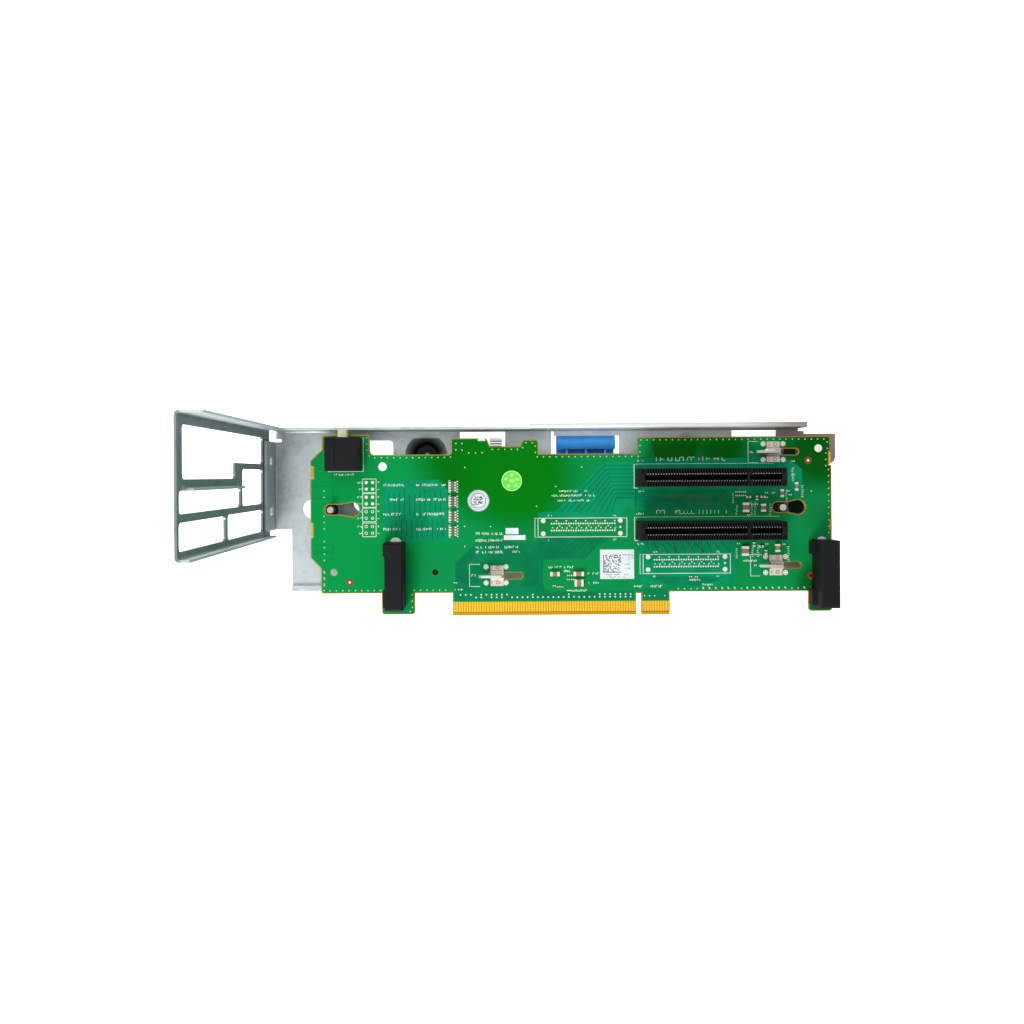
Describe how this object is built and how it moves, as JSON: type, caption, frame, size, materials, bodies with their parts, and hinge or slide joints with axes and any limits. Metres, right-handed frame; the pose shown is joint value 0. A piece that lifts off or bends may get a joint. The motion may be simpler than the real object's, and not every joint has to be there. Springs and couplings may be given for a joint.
{
  "type": "server riser",
  "caption": "Card riser: a circuit board with two upright card slots, held off a folded steel bracket with a windowed end panel.",
  "frame": {"origin": "centre of the bounding box's base, under the bracket as it lies on its back", "axes": "+X along the bracket, from the windowed end panel to the ear; +Y up the board; +Z out of the board"},
  "size_m": [0.2258, 0.0746, 0.13],
  "materials": {
    "galvanised_steel": "satin zinc coated sheet",
    "panel_steel": "satin zinc coated sheet",
    "fastener_steel": "bright",
    "board_green": "glossy solder mask",
    "gold": "gold plated",
    "black_plastic": "fine matt",
    "cream_plastic": "matt",
    "spring_steel": "bright wire",
    "tinned_steel": "bright tinned",
    "blue_plastic": "satin",
    "ceramic_tan": "matt ceramic",
    "resistor_dark": "matt ceramic",
    "label_green": "paper",
    "label_white": "paper"
  },
  "bodies": {
    "riser": {"main_bracket": "galvanised_steel", "rear_panel": "panel_steel", "panel_rivets": "fastener_steel", "board_studs": "fastener_steel", "circuit_board": "board_green", "edge_contacts": "gold", "upper_slot_housing": "black_plastic", "lower_slot_housing": "black_plastic", "upper_slot_contacts": "gold", "lower_slot_contacts": "gold", "intrusion_switch_body": "black_plastic", "plunger_spring": "spring_steel", "left_guide_block": "black_plastic", "right_guide_block": "black_plastic", "lower_left_earth_clip": "tinned_steel", "upper_right_earth_clip": "tinned_steel", "lower_right_earth_clip": "tinned_steel", "pull_grip": "blue_plastic", "large_chip_capacitors": "ceramic_tan", "small_chip_capacitors": "ceramic_tan", "chip_resistor_packs": "resistor_dark", "green_label": "label_green", "white_label": "label_white", "code_label": "label_white", "label_strips": "label_white"},
    "plunger": {"intrusion_plunger": "cream_plastic"}
  },
  "joints": [
    {"name": "plunger_press", "type": "slide", "parent": "riser", "child": "plunger", "axis": [0, -1, 0], "range_m": [0, 0.002], "stiffness_N_per_m": 100, "springref_m": -0.001, "deforming": ["plunger_spring"]}
  ]
}
